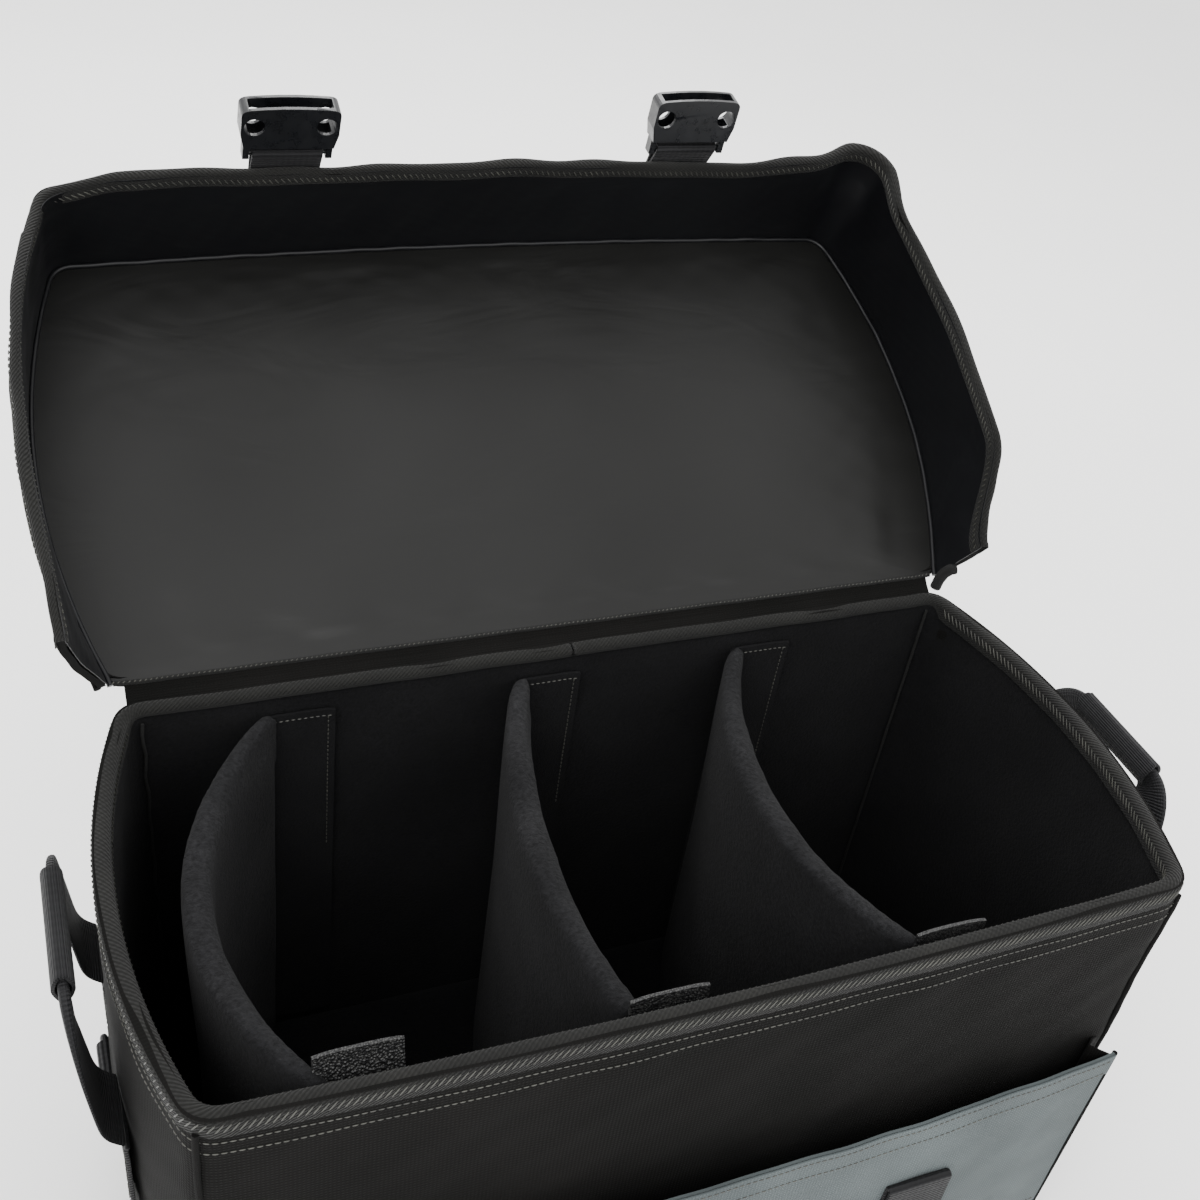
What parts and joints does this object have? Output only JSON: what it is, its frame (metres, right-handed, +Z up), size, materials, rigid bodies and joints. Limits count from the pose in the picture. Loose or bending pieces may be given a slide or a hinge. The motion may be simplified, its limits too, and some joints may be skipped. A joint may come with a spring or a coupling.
{
  "type": "percussion stick bag",
  "caption": "Soft padded box bag with a flip-top lid, movable hook-tape dividers, bellows pocket, end handles and side-release buckles.",
  "frame": {"origin": "middle of the base panel underside, on the floor", "axes": "+X along the bag, +Y towards the back and the hinge, +Z up"},
  "size_m": [0.5854, 0.511, 0.523],
  "materials": {
    "canvas": "coarse polyester canvas over foam, matt",
    "board": "stiff plastic sheet",
    "tape": "twill binding tape, stitched",
    "lining_sheen": "smooth coated nylon",
    "velour": "brushed loop velour",
    "felt": "brushed felt over foam",
    "hook_tape": "hook tape",
    "webbing": "ribbed webbing",
    "pocket_cloth": "grey polyester canvas",
    "buckle_plastic": "moulded, satin gloss"
  },
  "bodies": {
    "bag": {"base_panel": "canvas", "base_board": "board", "front_wall": "canvas", "back_wall": "canvas", "left_wall": "canvas", "right_wall": "canvas", "front_lining": "velour", "back_lining": "velour", "left_lining": "velour", "front_left_corner_binding": "tape", "back_left_corner_binding": "tape", "right_lining": "velour", "front_right_corner_binding": "tape", "back_right_corner_binding": "tape", "rim_binding": "tape", "hinge_strip": "canvas", "pocket_floor": "canvas", "left_pocket_gusset": "canvas", "right_pocket_gusset": "canvas", "left_ring_tab": "webbing", "right_ring_tab": "webbing", "left_handle_front_end": "webbing", "left_handle_back_end": "webbing", "right_handle_front_end": "webbing", "right_handle_back_end": "webbing"},
    "lid": {"lid_panel": "canvas", "lid_lining": "lining_sheen", "lid_front_skirt": "canvas", "lid_left_skirt": "canvas", "lid_left_corner_seam": "tape", "lid_right_skirt": "canvas", "lid_right_corner_seam": "tape", "lid_edge_binding": "tape", "left_lid_strap": "webbing", "right_lid_strap": "webbing"},
    "left_socket": {"left_buckle_socket": "buckle_plastic"},
    "left_strap": {"left_front_strap": "webbing"},
    "left_plug": {"left_buckle_plug": "buckle_plastic"},
    "left_grip": {"left_handle": "webbing"},
    "left_ring": {"left_strap_ring": "buckle_plastic"},
    "right_socket": {"right_buckle_socket": "buckle_plastic"},
    "right_strap": {"right_front_strap": "webbing"},
    "right_plug": {"right_buckle_plug": "buckle_plastic"},
    "right_grip": {"right_handle": "webbing"},
    "right_ring": {"right_strap_ring": "buckle_plastic"},
    "pocket": {"pocket_front": "pocket_cloth", "pocket_hem": "pocket_cloth", "left_strap_patch": "webbing", "right_strap_patch": "webbing"},
    "left_partition": {"left_divider": "felt", "left_divider_back_tab": "hook_tape", "left_divider_front_tab": "hook_tape"},
    "middle_partition": {"middle_divider": "felt", "middle_divider_back_tab": "hook_tape", "middle_divider_front_tab": "hook_tape"},
    "right_partition": {"right_divider": "felt", "right_divider_back_tab": "hook_tape", "right_divider_front_tab": "hook_tape"}
  },
  "joints": [
    {"name": "lid_hinge", "type": "hinge", "parent": "bag", "child": "lid", "pos_m": [0, 0.127, 0.2862], "axis": [-1, 0, 0], "range_deg": [-150, 60]},
    {"name": "pocket_mouth", "type": "hinge", "parent": "bag", "child": "pocket", "pos_m": [0, -0.1365, 0.024], "axis": [1, 0, 0], "range_deg": [0, 8], "stiffness_Nm_per_rad": 1.5},
    {"name": "left_socket_swing", "type": "hinge", "parent": "lid", "child": "left_socket", "pos_m": [-0.118, 0.31537, 0.48872], "axis": [1, 0, 0], "range_deg": [-13, 20]},
    {"name": "left_strap_fold", "type": "hinge", "parent": "pocket", "child": "left_strap", "pos_m": [-0.118, -0.14896, 0.115], "axis": [1, 0, 0], "range_deg": [-172.67, 0]},
    {"name": "left_plug_swing", "type": "hinge", "parent": "left_strap", "child": "left_plug", "pos_m": [-0.118, -0.14896, 0.07163], "axis": [1, 0, 0], "range_deg": [-27.33, 0]},
    {"name": "right_socket_swing", "type": "hinge", "parent": "lid", "child": "right_socket", "pos_m": [0.118, 0.31537, 0.48872], "axis": [1, 0, 0], "range_deg": [-3, 30]},
    {"name": "right_strap_fold", "type": "hinge", "parent": "pocket", "child": "right_strap", "pos_m": [0.118, -0.14896, 0.115], "axis": [1, 0, 0], "range_deg": [-172.67, 0]},
    {"name": "right_plug_swing", "type": "hinge", "parent": "right_strap", "child": "right_plug", "pos_m": [0.118, -0.14896, 0.07163], "axis": [1, 0, 0], "range_deg": [-27.33, 0]},
    {"name": "left_handle_swing", "type": "hinge", "parent": "bag", "child": "left_grip", "pos_m": [-0.26221, 0, 0.19], "axis": [0, -1, 0], "range_deg": [0, 90]},
    {"name": "right_handle_swing", "type": "hinge", "parent": "bag", "child": "right_grip", "pos_m": [0.26221, 0, 0.19], "axis": [0, 1, 0], "range_deg": [-14, 76]},
    {"name": "left_ring_swing", "type": "hinge", "parent": "bag", "child": "left_ring", "pos_m": [-0.2665, 0, 0.156], "axis": [0, -1, 0], "range_deg": [-100, 0]},
    {"name": "right_ring_swing", "type": "hinge", "parent": "bag", "child": "right_ring", "pos_m": [0.2665, 0, 0.156], "axis": [0, 1, 0], "range_deg": [-100, 0]},
    {"name": "left_divider_move", "type": "slide", "parent": "bag", "child": "left_partition", "axis": [1, 0, 0], "range_m": [-0.02, 0.075]},
    {"name": "middle_divider_move", "type": "slide", "parent": "bag", "child": "middle_partition", "axis": [1, 0, 0], "range_m": [-0.06, 0.065]},
    {"name": "right_divider_move", "type": "slide", "parent": "bag", "child": "right_partition", "axis": [1, 0, 0], "range_m": [-0.065, 0.08]}
  ]
}
